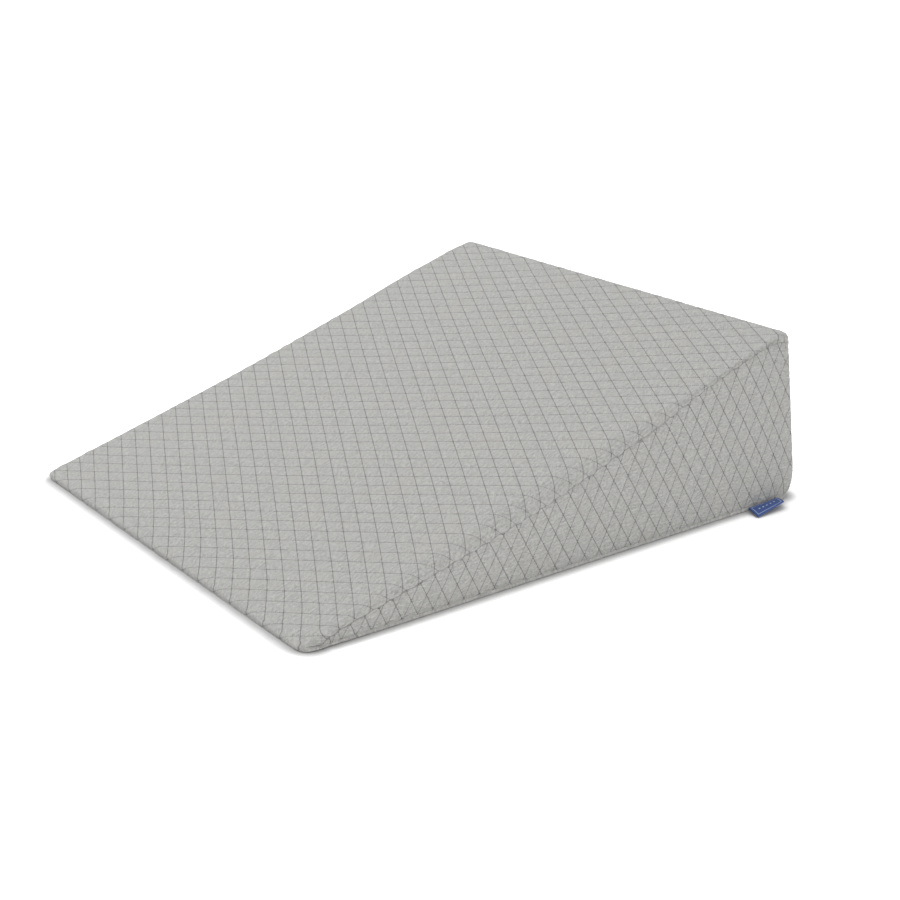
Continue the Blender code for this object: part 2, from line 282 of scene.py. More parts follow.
SLOPE_HALF = math.hypot(LENGTH - BACK_LEAN, HEIGHT - THIN_EDGE) / 2
SLOPE_MIDDLE = (SLOPE_START + SLOPE_END) / 2
top_quilting = Quilting(
    middle=(SLOPE_MIDDLE, 0.0), reach=(SLOPE_HALF, -WIDTH / 2), step=(0.009887, -0.018363),
    first=(41.051, -0.002),
    drift_along=(3.18, -1.55, -1.84, 2.20, -2.92, 0.68, -0.64, -5.51, 0.71),
    drift_across=(-10.75, -0.59, -7.06, 3.17, -11.02, -3.66, -0.51, 5.14, 1.15),
    hooks=((1, 0.0095, 1.1, (0.308, 0.041, 0.082)),     # family, over this way, power, shares
           (1, 0.0470, 1.2, (0.262, 0.374, -0.248)),
           (2, 0.0220, 1.7, (0.252, -0.004, -0.093))))
side_quilting = Quilting(
    middle=(0.0, 0.0), reach=(LENGTH / 2, HEIGHT), step=(0.009939, 0.018033),
    first=(18.553, -2.551),
    drift_along=(-2.52, -4.04, -12.77, 35.08, 0.92, 12.82, -12.81, -22.59, 13.66),
    drift_across=(-9.07, 1.62, -2.02, -21.42, 3.55, -1.72, 9.64, 10.07, -4.44))
back_quilting = Quilting(       # its lines go on round the near corner from the near side's
    middle=(0.0, 0.0), reach=(WIDTH, HEIGHT), step=side_quilting.step,
    first=(51.092, -3.151),
    drift_along=(0.0, 12.45, 0.0, 0.0, -58.14, 0.0, 0.0, 0.0, 36.84),
    drift_across=(-8.0, -21.41, 0.0, 0.0, 36.35, 0.0, 0.0, 0.0, -18.77))
print("diamonds on top:", round(2000 * top_quilting.step[0], 1), "x",
      round(-2000 * top_quilting.step[1], 1), "mm")

# %% [markdown]
# ## One skin from five panels
# The cover is sewn from a top, a back, two sides and a base. Each panel is cut flat from the same
# cloth, and neighbours share the points of their seam, so the finished skin is closed. Inside a panel
# the points follow the quilting: the grid's own lines run along the stitch lines, with the steps
# narrow beside a stitch line, where the cloth dips, and wide on the crown of a diamond. Where a
# stitch line meets a seam there is a seam point for it, so the line runs right into the seam. A
# Delaunay triangulation ties the grid to the panel's edge and keeps the stitch lines as its edges.

# %% Where the seams lie
WELT = 0.0031               # the seam at the foot lies this high along the sides and the back
THIN_WELT = 0.0012          # and this high under the thin edge
WELT_RISE = 0.030           # it climbs from the one to the other over this way
EDGE_SPACING = 0.0026       # usual step between two points of a seam
EDGE_SNAP = 0.0009          # line ends nearer than this share one seam point

back_z = outline_points[:, 1][outline_distance > SLOPE_END]
back_distance = outline_distance[outline_distance > SLOPE_END]
thin_foot_at = float(np.interp(THIN_WELT, outline_points[:CORNER_STEPS + 1, 1],
                               outline_distance[:CORNER_STEPS + 1]))
back_foot_at = float(np.interp(-WELT, -back_z, back_distance))
REAR_SEAM_DROP = 0.012
rear_seam_at = SLOPE_END + REAR_SEAM_DROP


def foot_height(x):
    """Height of the seam at the foot of a side: it climbs smoothly away from the thin edge."""
    t = np.clip((x + LENGTH / 2) / WELT_RISE, 0, 1)
    return THIN_WELT + (WELT - THIN_WELT) * t * t * (3 - 2 * t)


def seam_place(along):
    """The seam between the strip and a side, seen from the side: a radius below the sharp edge."""
    place = strip_place(along, -half_cut(along))
    return place[:, 0], place[:, 2]


def line_ends(quilting, p, q, station):
    """Stations along an edge at which a stitch line of either family crosses it."""
    ends = []
    for number in quilting.numbers(p, q):
        way = 1 if number[-1] > number[0] else -1
        whole = np.arange(math.ceil(number.min()), math.floor(number.max()) + 1)
        ends.append(np.interp(whole, number[::way], station[::way]))
    return np.concatenate(ends)


def stations(start, stop, *ends, spacing=EDGE_SPACING):
    """Stations from start to stop: the line ends, and points between them at the usual spacing."""
    ends = np.sort(np.concatenate([[], *ends]))
    ends = ends[(ends > start + EDGE_SNAP) & (ends < stop - EDGE_SNAP)]
    fixed = np.concatenate([[start], ends[np.diff(ends, prepend=start) > EDGE_SNAP], [stop]])
    between = [np.linspace(a, b, max(1, round((b - a) / spacing)) + 1)[:-1]
               for a, b in zip(fixed[:-1], fixed[1:])]
    return np.concatenate([*between, [stop]])


FINE_STEPS = 4000           # fine steps along an edge, to find where stitch lines cross it
BACK_MIDDLE = 0.10          # at this height the back's cloth ruler shows the true height
back_rule = float(np.interp(-BACK_MIDDLE, -back_z, back_distance)) + BACK_MIDDLE


def back_flat(along, across):
    """The back's flat coordinates: across from its near corner, and up its cloth from the base."""
    return across + WIDTH / 2, back_rule - along


long_fine = np.linspace(thin_foot_at, rear_seam_at, FINE_STEPS)
long_seam = stations(
    thin_foot_at, rear_seam_at,
    line_ends(top_quilting, long_fine, -half_cut(long_fine), long_fine),
    line_ends(top_quilting, long_fine, half_cut(long_fine), long_fine),
    line_ends(side_quilting, *seam_place(long_fine), long_fine))
corner_fine = np.linspace(rear_seam_at, back_foot_at, FINE_STEPS // 2)
corner_seam = stations(
    rear_seam_at, back_foot_at,
    line_ends(side_quilting, *seam_place(corner_fine), corner_fine),
    line_ends(back_quilting, *back_flat(corner_fine, -half_cut(corner_fine)), corner_fine),
    line_ends(back_quilting, *back_flat(corner_fine, half_cut(corner_fine)), corner_fine))


def cross_stations(along, *cloths):
    """Stations across the strip at one distance along it. Each cloth that meets there is a pair: its
    quilting, and the function that gives its flat coordinates."""
    reach = float(half_cut(along))
    t = np.linspace(-reach, reach, FINE_STEPS)
    ends = [line_ends(quilting, *flat(along + 0 * t, t), t) for quilting, flat in cloths]
    return stations(-reach, reach, *ends)


def strip_flat(along, across):
    """The top's flat coordinates are the strip's own."""
    return along, across


thin_foot = cross_stations(thin_foot_at, (top_quilting, strip_flat))
rear_seam = cross_stations(rear_seam_at, (top_quilting, strip_flat), (back_quilting, back_flat))
back_foot = cross_stations(back_foot_at, (back_quilting, back_flat))
side_start, side_stop = (float(seam_place(np.array([at]))[0][0])
                         for at in (thin_foot_at, back_foot_at))
side_fine = np.linspace(side_start, side_stop, FINE_STEPS)
side_foot = stations(side_start, side_stop,
                     line_ends(side_quilting, side_fine, foot_height(side_fine), side_fine))
print("points along the long seam, the back's corner, the side's foot and the rear seam:",
      len(long_seam), len(corner_seam), len(side_foot), len(rear_seam))

# %% [markdown]
# Five panels share their seam points, so each seam is one list of points with a number for each. The
# helper below hands out the numbers and keeps, beside each point, how deep it is drawn in.

# %% Shared points of the skin
SEAM_DEPTH = 0.0019         # how far the long seams and the back's far seam are drawn in
WELT_DEPTH = 0.0014         # the same for the seam at the foot of the sides and the back
THIN_DEPTH = 0.0005         # for the foot of the thin edge
REAR_DEPTH = 0.0009         # for the seam between the top and the back
CORNER_DEPTH = 0.0006       # the cloth only wraps round the back's near corner, with no seam
skin_points, skin_depths = [], []


def add_points(points, depth):
    """Adds points to the skin and returns their numbers."""
    first = sum(len(p) for p in skin_points)
    skin_points.append(points)
    skin_depths.append(depth + np.zeros(len(points)))
    return first + np.arange(len(points))


def strip_line(along, across, depth):
    """Adds a line of seam points that lie on the strip."""
    along, across = np.broadcast_arrays(along, across)
    return add_points(strip_place(along, across), depth)


def side_line(x, z, way, depth):
    """Adds a line of seam points that lie on a side; way is -1 for the near side, 1 for the far."""
    return add_points(np.stack([x, 0 * x + way * WIDTH / 2, z + 0 * x], axis=-1), depth)


LONG_EASE = ((thin_foot_at, thin_foot_at + 0.06, rear_seam_at - 0.03, rear_seam_at),
             (0.3, 1.0, 1.0, 0.4))      # the long seams are drawn in less near their two ends
seam = {}                   # the numbers of each seam's points
for way in (-1, 1):
    eased = np.interp(long_seam, LONG_EASE[0], LONG_EASE[1])
    seam["long", way] = strip_line(long_seam, way * half_cut(long_seam), SEAM_DEPTH * eased)
    seam["corner", way] = np.concatenate([
        seam["long", way][-1:],
        strip_line(corner_seam[1:], way * half_cut(corner_seam[1:]),
                   CORNER_DEPTH if way < 0 else SEAM_DEPTH)])
for name, along, across, depth, beside, end in (      # and the seams it joins, and at which end
        ("thin foot", thin_foot_at, thin_foot, THIN_DEPTH, "long", 0),
        ("rear", rear_seam_at, rear_seam, REAR_DEPTH, "long", -1),
        ("back foot", back_foot_at, back_foot, WELT_DEPTH, "corner", -1)):
    inner = strip_line(along, across[1:-1], depth)
    seam[name] = np.concatenate([[seam[beside, -1][end]], inner, [seam[beside, 1][end]]])
for way in (-1, 1):
    inner = side_line(side_foot[1:-1], foot_height(side_foot[1:-1]), way, WELT_DEPTH)
    seam["side foot", way] = np.concatenate([
        seam["long", way][:1], inner, seam["corner", way][-1:]])

# %% [markdown]
# A panel is laid out flat. Its grid is made from the two line numbers, so a row of the grid is a
# stitch line wherever the number is whole, and those rows are kept as edges.

# %% A panel laid out flat
CDT_NEAR = 1e-7             # points nearer than this count as one in a triangulation
GRID_STEPS = np.array([0.0, 0.07, 0.20, 0.38, 0.62, 0.80, 0.93])    # across one diamond
GRID_MARGIN = 0.0013        # the grid stays this far inside the panel's edge
TIE_REACH = 0.0110          # a stitch line is tied to a seam point nearer than this
TIE_NUMBER = 0.06           # and that lies on the same line to this share of a diamond


def grid_numbers(number):
    """The numbers of a grid's rows: the steps of GRID_STEPS over each diamond of the panel."""
    whole = np.arange(math.floor(number.min()) - 1, math.ceil(number.max()) + 2)
    return (whole[:, None] + GRID_STEPS).ravel()


def tied_line(line, number, flat, edge_number):
    """One stitch line's points from edge to edge, as numbers of the panel's points: each end is tied
    to the nearest edge point that lies on the same line."""
    line = line[line >= 0]
    near = np.flatnonzero(abs(edge_number - number) < TIE_NUMBER)
    if len(line) == 0 or len(near) == 0:
        return line
    ends = []
    for tip in (line[0], line[-1]):
        gap = np.linalg.norm(flat[near] - flat[tip], axis=1)
        ends.append(near[[gap.argmin()]] if gap.min() < TIE_REACH else near[:0])
    return np.concatenate([ends[0], line, ends[1]])


def flat_panel(quilting, edge, room):
    """A panel's flat points, with the edge's first, its triangles and its two families of lines."""
    edge_numbers = quilting.numbers(*edge.T)
    grids = np.meshgrid(*[grid_numbers(n) for n in edge_numbers], indexing="ij")
    p, q = quilting.places(*grids)
    inside = room(p, q) > GRID_MARGIN
    index = np.full(inside.shape, -1)
    index[inside] = len(edge) + np.arange(inside.sum())
    flat = np.concatenate([edge, np.stack([p[inside], q[inside]], axis=1)])
    step = len(GRID_STEPS)
    families = []
    for rows, values, edge_number in ((index[::step], grids[0][::step, 0], edge_numbers[0]),
                                      (index.T[::step], grids[1][0, ::step], edge_numbers[1])):
        lines = [tied_line(row, value, flat, edge_number) for row, value in zip(rows, values)]
        families.append([line for line in lines if len(line) > 2])
    kept = [np.stack([line[:-1], line[1:]], axis=1) for family in families for line in family]
    kept = np.unique(np.sort(np.concatenate(kept), axis=1), axis=0)
    found, _, triangles, source, _, _ = delaunay_2d_cdt(
        flat.tolist(), kept.tolist(), [list(range(len(edge)))], 1, CDT_NEAR)
    origin = np.array([s[0] if len(s) else -1 for s in source])
    crossing = origin < 0       # two lines can cross between the grid and the edge
    origin[crossing] = len(flat) + np.arange(crossing.sum())
    flat = np.concatenate([flat, np.array(found)[crossing].reshape(-1, 2)])
    triangles = origin[np.array(triangles)]
    a, b, c = (flat[triangles[:, k]] for k in range(3))
    turned = (b - a)[:, 0] * (c - a)[:, 1] - (b - a)[:, 1] * (c - a)[:, 0] < 0
    triangles[turned] = triangles[turned][:, ::-1]
    return flat, triangles, families


# %% [markdown]
# Each panel then needs three things: its edge, as the flat places and the numbers of the seams round
# it, one after the other; its room, which is how far a flat place lies inside that edge; and where a
# flat place lies in space.

# %% Rooms and edges of the panels
def strip_room(first, last):
    """Distance from the edge of a part of the strip, between two distances along it."""
    def room(along, across):
        return np.minimum.reduce([half_cut(along) - abs(across), along - first, last - along])
    return room


def side_room(x, z):
    """Distance from the edge of a side panel: to the long seam, to the back's corner, to the foot."""
    rise_x, rise_z = seam_place(long_seam)
    back_x, back_high = seam_place(corner_seam)
    slope = math.atan2(HEIGHT - THIN_EDGE, LENGTH - BACK_LEAN)
    below_seam = (np.interp(x, rise_x, rise_z) - z) * math.cos(slope)
    before_back = np.interp(-z, -back_high, back_x) - x
    return np.minimum.reduce([below_seam, before_back, z - foot_height(x), x - rise_x[0]])


def loop(*lines):
    """Joins lines end to end into one closed line; each starts where the one before it stops."""
    return np.concatenate([line[:-1] for line in lines])


def seam_flat(along, way):
    """Flat places on the strip's edge on one side."""
    return np.stack([along, way * half_cut(along)], axis=1)


def across_flat(along, across):
    """Flat places on a line across the strip."""
    return np.stack([along + 0 * across, across], axis=1)


# %% Cut the four quilted panels
panels = {}


def cut_panel(name, quilting, edge, numbers, room, place, turned=False):
    """Lays a panel out flat, gives its inner points their places and numbers, and keeps its data."""
    flat, triangles, families = flat_panel(quilting, edge, room)
    inner = flat[len(edge):]
    numbers = np.concatenate([numbers, add_points(place(*inner.T), 0.0)])
    if turned:
        triangles = triangles[:, ::-1]
    panels[name] = {"flat": flat, "numbers": numbers, "triangles": numbers[triangles],
                    "corner_flat": flat[triangles], "quilting": quilting,
                    "lines": [[numbers[line] for line in family] for family in families]}
    print(name, len(flat), "points", len(triangles), "triangles")


cut_panel(
    "top", top_quilting,
    loop(seam_flat(long_seam, -1), across_flat(rear_seam_at, rear_seam),
         seam_flat(long_seam[::-1], 1), across_flat(thin_foot_at, thin_foot[::-1])),
    loop(seam["long", -1], seam["rear"], seam["long", 1][::-1], seam["thin foot"][::-1]),
    strip_room(thin_foot_at, rear_seam_at), strip_place)

back_edge = loop(across_flat(back_foot_at, back_foot), seam_flat(corner_seam[::-1], 1),
                 across_flat(rear_seam_at, rear_seam[::-1]), seam_flat(corner_seam, -1))


def back_room(p, q):
    """Distance from the back's edge."""
    return strip_room(rear_seam_at, back_foot_at)(back_rule - q, p - WIDTH / 2)


def back_place(p, q):
    """Where a flat place of the back lies."""
    return strip_place(back_rule - q, p - WIDTH / 2)


cut_panel(
    "back", back_quilting, np.stack(back_flat(*back_edge.T), axis=1),
    loop(seam["back foot"], seam["corner", 1][::-1], seam["rear"][::-1], seam["corner", -1]),
    back_room, back_place)

for way, name in ((-1, "near side"), (1, "far side")):
    side_edge = loop(
        np.stack([side_foot, foot_height(side_foot)], axis=1),
        np.stack(seam_place(corner_seam[::-1]), axis=1),
        np.stack(seam_place(long_seam[::-1]), axis=1))
    cut_panel(
        name, side_quilting, side_edge,
        loop(seam["side foot", way], seam["corner", way][::-1], seam["long", way][::-1]),
        side_room,
        lambda x, z, way=way: np.stack([x, 0 * x + way * WIDTH / 2, z], axis=1),
        turned=way > 0)

# %% [markdown]
# The base panel lies flat on whatever the pillow stands on. Its rim turns up a few millimetres to
# the seam at the foot and stands out there as a narrow roll, so some rings of faces lead from the
# seam down to the flat part. The stitch lines that end in the seam pinch the roll.

# %% The base's turned-up rim
ROLL_RINGS = (              # the rim's rings: share of the seam's height, inset from the outline
    (0.90, 0.0005),
    (0.55, 0.0),
    (0.18, 0.0001),
    (0.0, 0.0007),
)
PINCH = 0.0009              # the roll is drawn in this much more where a stitch line meets the seam
PINCH_REACH = 0.10          # over this share of a diamond
CORNER_TUCK = 0.003         # at the thin edge's corners the rim is tucked under by this much more
TUCK_REACH = 0.060          # and this far from them

foot_loop = loop(seam["side foot", -1], seam["back foot"],
                 seam["side foot", 1][::-1], seam["thin foot"][::-1])
rim = np.concatenate(skin_points)[foot_loop]


def pinch_at(quilting, p, q):
    """1 where a line of the first family meets the seam, and 0 a little way from it."""
    return np.clip(1 - from_line(quilting.numbers(p, q)[0]) / PINCH_REACH, 0, 1)


side_pinch = pinch_at(side_quilting, side_foot, foot_height(side_foot))
pinch = loop(side_pinch, pinch_at(back_quilting, *back_flat(back_foot_at, back_foot)),
             side_pinch[::-1], pinch_at(top_quilting, thin_foot_at, thin_foot)[::-1])[:, None]


def rim_ring(share, inset):
    """A ring inside the foot seam seen from above, at a share of the seam's height."""
    corner_gap = np.hypot(rim[:, :1] + LENGTH / 2, abs(rim[:, 1:2]) - WIDTH / 2)
    tuck = CORNER_TUCK * np.exp(-(corner_gap / TUCK_REACH) ** 2) * (1 - share) ** 2
    inset = inset + tuck + PINCH * pinch * (share > 0)
    scale = np.concatenate([1 - 2 * inset / LENGTH, 1 - 2 * inset / WIDTH, share + 0 * inset],
                           axis=1)
    return add_points(rim * scale, 0.0)


def ring_faces(upper, lower):
    """Two triangles for each step of a band between two rings, facing out."""
    a, b, c, d = upper, np.roll(upper, -1), np.roll(lower, -1), lower
    return np.concatenate([np.stack([a, d, c], axis=1), np.stack([a, c, b], axis=1)])


rings = [foot_loop] + [rim_ring(*row) for row in ROLL_RINGS]
print("rim", len(rings), "rings of", len(foot_loop), "points")

# %% The base's flat part
BASE_SPACING = 0.014        # the base is flat, so its own points can lie far apart


def inner_stations(low, high):
    """Places between two edges at the base's spacing."""
    return np.arange(low + BASE_SPACING, high - BASE_SPACING / 2, BASE_SPACING)


base_edge = np.concatenate(skin_points)[rings[-1]][:, :2]
base_inner = np.stack(np.meshgrid(
    inner_stations(base_edge[:, 0].min(), base_edge[:, 0].max()),
    inner_stations(-WIDTH / 2, WIDTH / 2)), axis=-1).reshape(-1, 2)
base_flat = np.concatenate([base_edge, base_inner])
base_numbers = np.concatenate([
    rings[-1], add_points(np.column_stack([base_inner, np.zeros(len(base_inner))]), 0.0)])
_, _, base_triangles, _, _, _ = delaunay_2d_cdt(
    base_flat.tolist(), [], [list(range(len(base_edge)))], 1, CDT_NEAR)
base_triangles = np.array(base_triangles)
a, b, c = (base_flat[base_triangles[:, k]] for k in range(3))
upward = (b - a)[:, 0] * (c - a)[:, 1] - (b - a)[:, 1] * (c - a)[:, 0] > 0
base_triangles[upward] = base_triangles[upward][:, ::-1]
panels["base"] = {
    "triangles": np.concatenate([base_numbers[base_triangles]]
                                + [ring_faces(*pair) for pair in zip(rings[:-1], rings[1:])])}
points = np.concatenate(skin_points)
print("base", len(panels["base"]["triangles"]), "triangles; skin", len(points), "points")

# %% [markdown]
# The panels meet at sharp corners so far. On the real pillow the corners are rounded by the foam
# under the stretched cloth, most of all at the near end of the thin edge and at the foot of the tall
# end. All points near a corner are moved together here, after the cutting, so the seams stay closed.

# %% Rounded corners
THIN_CORNERS = (0.017, 0.007)       # radius of the thin edge's near and far corner
TALL_CORNER = 0.004                 # radius of the tall end's upright corners
TALL_FOOT = (0.016, 0.040)          # more radius that they get at the foot, and up to which height
TOP_CORNER = 0.010                  # the tall end's upper corners also drop, along a circle this big
TOP_SHARE = 0.25                    # over this share of the height
CORNER_REACH = 0.045        # how far along the pillow a rounded corner still bends the cloth
SCALLOP = 0.0008            # the puffs of the top push the long seams up and down by this much
SCALLOP_SHARE = ((0.02, 0.25, rear_seam_at - 0.03, rear_seam_at), (0.15, 1.0, 1.0, 0.0))


def circle_step(y, radius):
    """How far a circle that touches the end stands back from it at y, near the side."""
    into = np.clip(abs(y) - (WIDTH / 2 - radius), 0, radius)
    return radius - np.sqrt(radius ** 2 - into ** 2)


def wrap_step(room, radius):
    """Wraps the back's cloth round a corner without stretching it. A point whose distance from the
    side is an angle times the radius goes to that angle of the circle: it steps back by radius
    (1 - sin angle), and towards the side to radius (1 - cos angle). Past the quarter circle the
    second step fades out."""
    angle = np.minimum(room / radius, math.pi / 2)
    fade = 1 - np.clip((room - radius * math.pi / 2) / CORNER_REACH, 0, 1)
    return radius * (1 - np.sin(angle)), radius * (angle - 1 + np.cos(angle)) * fade


def round_corners(points):
    """Rounds the corners: near a side the thin end steps in along a circle, the cloth of the tall
    end wraps round it, the tall end's top drops along a circle, and all steps fade out along the
    pillow."""
    x, y, z = points.T.copy()
    from_tall = np.clip(1 - (LENGTH / 2 - BACK_LEAN * z / HEIGHT - x) / CORNER_REACH, 0, 1)
    from_thin = np.clip(1 - (x + LENGTH / 2) / CORNER_REACH, 0, 1)
    tall = TALL_CORNER + TALL_FOOT[0] * np.clip(1 - z / TALL_FOOT[1], 0, 1) ** 2
    step_back, step_out = wrap_step(WIDTH / 2 - abs(y), tall)
    x = x + from_thin * circle_step(y, np.where(y < 0, *THIN_CORNERS)) - from_tall * step_back
    y = y + from_tall * step_out * np.sign(y)
    z = z - circle_step(y, TOP_CORNER) * from_tall ** 2 * np.clip(
        (z / HEIGHT - 1) / TOP_SHARE + 1, 0, 1)
    return np.stack([x, y, z], axis=1)


for way in (-1, 1):
    number = top_quilting.numbers(long_seam, way * half_cut(long_seam))[0]
    share = np.interp(long_seam, *SCALLOP_SHARE)
    points[seam["long", way], 2] += SCALLOP * share * np.sin(2 * np.pi * number)
points = round_corners(points)
panels["base"]["corner_flat"] = points[panels["base"]["triangles"]][:, :, :2]
print("corners rounded; the skin is", np.ptp(points, axis=0).round(4), "m large")

# %% [markdown]
# ## The quilted relief
# Between its stitch lines the cloth stands up over the wadding, and on a line the thread holds it
# down. Going away from a line the cloth rises steeply and then flattens out towards the crown, and a
# diamond's height is the product of the two rises, so it falls off into all four corners. No two
# diamonds are filled quite alike. The seams are drawn in, over a few millimetres to each side.

# %% The puff of a diamond
PUFF = 0.0011               # height of a diamond's crown over its stitch lines
PUFF_ROUND = 2.6            # how steeply the cloth rises beside a stitch line
PUFF_CHANCE = 0.22          # how much the diamonds differ
DIAMOND_TABLE = (97, 89)    # the chance numbers of the diamonds repeat after so many


def puff(one, two, seed):
    """How far the cloth lies below a usual crown: PUFF times 1 less the rise. The rise over one
    family is 1 - (1 - 2 distance)^round, and the two families' rises are multiplied."""
    rise = ((1 - (1 - 2 * from_line(one)) ** PUFF_ROUND)
            * (1 - (1 - 2 * from_line(two)) ** PUFF_ROUND))
    chance = np.random.default_rng(seed).normal(size=DIAMOND_TABLE)
    diamond = chance[np.floor(one).astype(int) % DIAMOND_TABLE[0],
                     np.floor(two).astype(int) % DIAMOND_TABLE[1]]
    return PUFF * (1 - rise * (1 + PUFF_CHANCE * np.clip(diamond, -2, 2)))


for name in ("top", "near side"):
    deep = puff(*panels[name]["quilting"].numbers(*panels[name]["flat"].T), 0)
    print(name, "crowns stand", round(1000 * (deep.max() - deep.min()), 2), "mm over the lines")

# %% [markdown]
# A seam draws the cloth in, so near a seam a point's depth goes over from its puff to the seam's own
# depth. The back's near corner has no seam, so the back's and the near side's rooms leave that edge
# out. A stitch line also looks darker than the cloth beside it, since little light gets down to the
# thread, so each point keeps how close it lies to a line, and the jersey's material paints that
# shade into its colour. The seams get the same painted shade.

# %% How deep each point is drawn in
SEAM_REACH = 0.0019         # how far from a seam the cloth is drawn in with it
SIDE_SHARE = 0.8            # share of the long seams' depth near the edges of the back and the sides
PUFF_SHARE = 0.4            # share of the puff that is left at a seam
LIP = 0.0007                # beside the near long seam the filled cloth of the top stands out again
LIP_PLACE, LIP_REACH = 0.0052, 0.0028
CALM = {"top": 1.0, "back": 0.55, "near side": 1.0, "far side": 0.6}   # share of the puffs' height
CALM_EDGE, CALM_REACH = 0.50, 0.020     # the tight cloth at the top's far and rear edges is flatter
# Painted shade on the second family's lines, as a share of the first family's
SECOND_LINE_SHADE = {"top": 0.966, "back": 0.985, "near side": 0.985, "far side": 0.985}   # 1: as dark
# Painted shade along each seam, where 1 is as much as on a stitch line
SEAM_PAINTED_SHADE = {              # how dark a seam shows, where 1 is a stitch line; the others show none
    ("long", -1): np.interp(        # darkest a little way from the thin edge
        long_seam, (thin_foot_at + 0.004, thin_foot_at + 0.020, 0.25), (0.952, 1.04, 0.995)),
    ("long", 1): 1.0, ("corner", 1): 1.0, "rear": 1.0,
    ("side foot", -1): 0.968, ("side foot", 1): 0.968, "back foot": 0.968,
}


def back_seam_room(p, q):
    """Distance from the back's seams: all its edges but the near corner."""
    along = back_rule - q
    return np.minimum.reduce([
        along - rear_seam_at, back_foot_at - along, half_cut(along) - (p - WIDTH / 2)])


def near_seam_room(x, z):
    """Distance from the near side's seams: the long seam and the foot."""
    below_seam = np.interp(x, *seam_place(long_seam)) - z
    return np.minimum(below_seam * math.cos(math.atan2(HEIGHT, LENGTH)), z - foot_height(x))


depths = np.concatenate(skin_depths)
on_line = np.zeros(len(points), np.float32)
rooms = {"top": strip_room(thin_foot_at, rear_seam_at), "back": back_seam_room,
         "near side": near_seam_room, "far side": side_room}
for seed, (name, room) in enumerate(rooms.items()):
    panel = panels[name]
    one, two = panel["quilting"].numbers(*panel["flat"].T)
    inner = depths[panel["numbers"]] == 0.0
    quilted = puff(one, two, seed) * CALM[name]
    pull = np.exp(-(np.maximum(room(*panel["flat"].T), 0.0) / SEAM_REACH) ** 2)
    if name == "top":
        along, across = panel["flat"].T
        edge_room = np.minimum(half_cut(along) - across, rear_seam_at - along)
        quilted *= 1 - CALM_EDGE * np.exp(-(edge_room / CALM_REACH) ** 2)
        near_room = half_cut(along) + across
        quilted -= LIP * np.exp(-((near_room - LIP_PLACE) / LIP_REACH) ** 2) * (1 - quilted / PUFF)
    seam_depth = SEAM_DEPTH * (np.interp(along, *LONG_EASE) if name == "top" else SIDE_SHARE)
    deep = quilted * (1 - pull) + (seam_depth + PUFF_SHARE * quilted) * pull
    depths[panel["numbers"][inner]] = deep[inner]
    # How much painted shade a point gets: 1 on a stitch line, less beside it
    on_line[panel["numbers"]] = np.maximum(1 - 2 * from_line(one),
                                           SECOND_LINE_SHADE[name] * (1 - 2 * from_line(two)))
for name, dark in SEAM_PAINTED_SHADE.items():
    on_line[seam[name]] = dark
print("drawn in by", round(depths.max() * 1000, 2), "mm at most")

# %% [markdown]
# To draw a point in, it is moved against the skin's own normal. A first mesh of the smooth skin gives
# those normals. Then the whole skin is scaled by the small amount that puts it back on the pillow's
# true length, width and height, and it becomes the cover, with the flat coordinates as its UV map.

# %% The cover as a Blender mesh
def mesh_of(name, points, faces, smooth=True):
    """A mesh from whole arrays of points and faces."""
    mesh = bpy.data.meshes.new(name)
    mesh.from_pydata(points, [], faces)
    mesh.polygons.foreach_set("use_smooth", np.full(len(mesh.polygons), smooth))
    mesh.update()
    return mesh


def mesh_normals(mesh):
    """The normals at a mesh's points."""
    normals = np.zeros(len(mesh.vertices) * 3, np.float32)
    mesh.vertex_normals.foreach_get("vector", normals)
    return normals.reshape(-1, 3).astype(float)


faces = np.concatenate([panel["triangles"] for panel in panels.values()])
points = points - mesh_normals(mesh_of("smooth_skin", points, faces)) * depths[:, None]
points[:, 2] = np.maximum(points[:, 2], 0.0)
low, high = points.min(axis=0), points.max(axis=0)
middle = np.array([(low[0] + high[0]) / 2, (low[1] + high[1]) / 2, 0.0])
points = (points - middle) * np.array([LENGTH, WIDTH, HEIGHT]) / (high - low)

cover_mesh = mesh_of("cover", points, faces)
cover = bpy.data.objects.new("cover", cover_mesh)
bpy.context.scene.collection.objects.link(cover)
cloth_uv = cover_mesh.uv_layers.new(name="cloth")
corner_flat = np.concatenate([panel["corner_flat"].reshape(-1, 2) for panel in panels.values()])
cloth_uv.data.foreach_set("uv", corner_flat.astype(np.float32).ravel())
attribute = cover_mesh.attributes.new("on_line", "FLOAT", "POINT")
attribute.data.foreach_set("value", on_line)
print("cover:", len(cover_mesh.vertices), "points,", len(cover_mesh.polygons), "triangles")

# %% [markdown]
# ## The stitches
# A quilting machine's thread shows as a row of short stitches with small gaps, each lying on the
# cloth and diving in at its two ends. Here every stitch is a small closed body of its own: two tips
# under the surface and two three-sided rings between them. All stitches of a family are worked out
# together: the family's lines are laid end to end on one long ruler with a blank between them, and a
# stitch is a stretch of that ruler.

# %% Thread on the stitch lines
STITCH_BLANK = 1.0          # blank between two lines on the long ruler
RING_ANGLES = np.radians([90, 210, 330])
STITCH_SHARES = np.array([0.0, 0.22, 0.78, 1.0])
STITCH_RISE = np.array([-0.9, 0.45, 0.45, -0.9])    # of the thread's radius, over the cloth
STITCH_WOBBLE = 0.12        # a stitch lies off its place by up to this share of the gap
STITCH_FACES = np.array([
    (0, 2, 1), (0, 3, 2), (0, 1, 3),
    (1, 2, 5), (1, 5, 4), (2, 3, 6), (2, 6, 5), (3, 1, 4), (3, 4, 6),
    (7, 4, 5), (7, 5, 6), (7, 6, 4)])


def long_ruler(lines, points):
    """The lines' point numbers end to end, their places on the ruler, and where each line starts
    and how long it is."""
    chain = np.concatenate(lines)
    steps = np.linalg.norm(np.diff(points[chain], axis=0), axis=1)
    last = np.cumsum([len(line) for line in lines])
    steps[last[:-1] - 1] = STITCH_BLANK
    ruler = np.concatenate([[0.0], np.cumsum(steps)])
    start = ruler[np.concatenate([[0], last[:-1]])]
    return chain, ruler, start, ruler[last - 1] - start


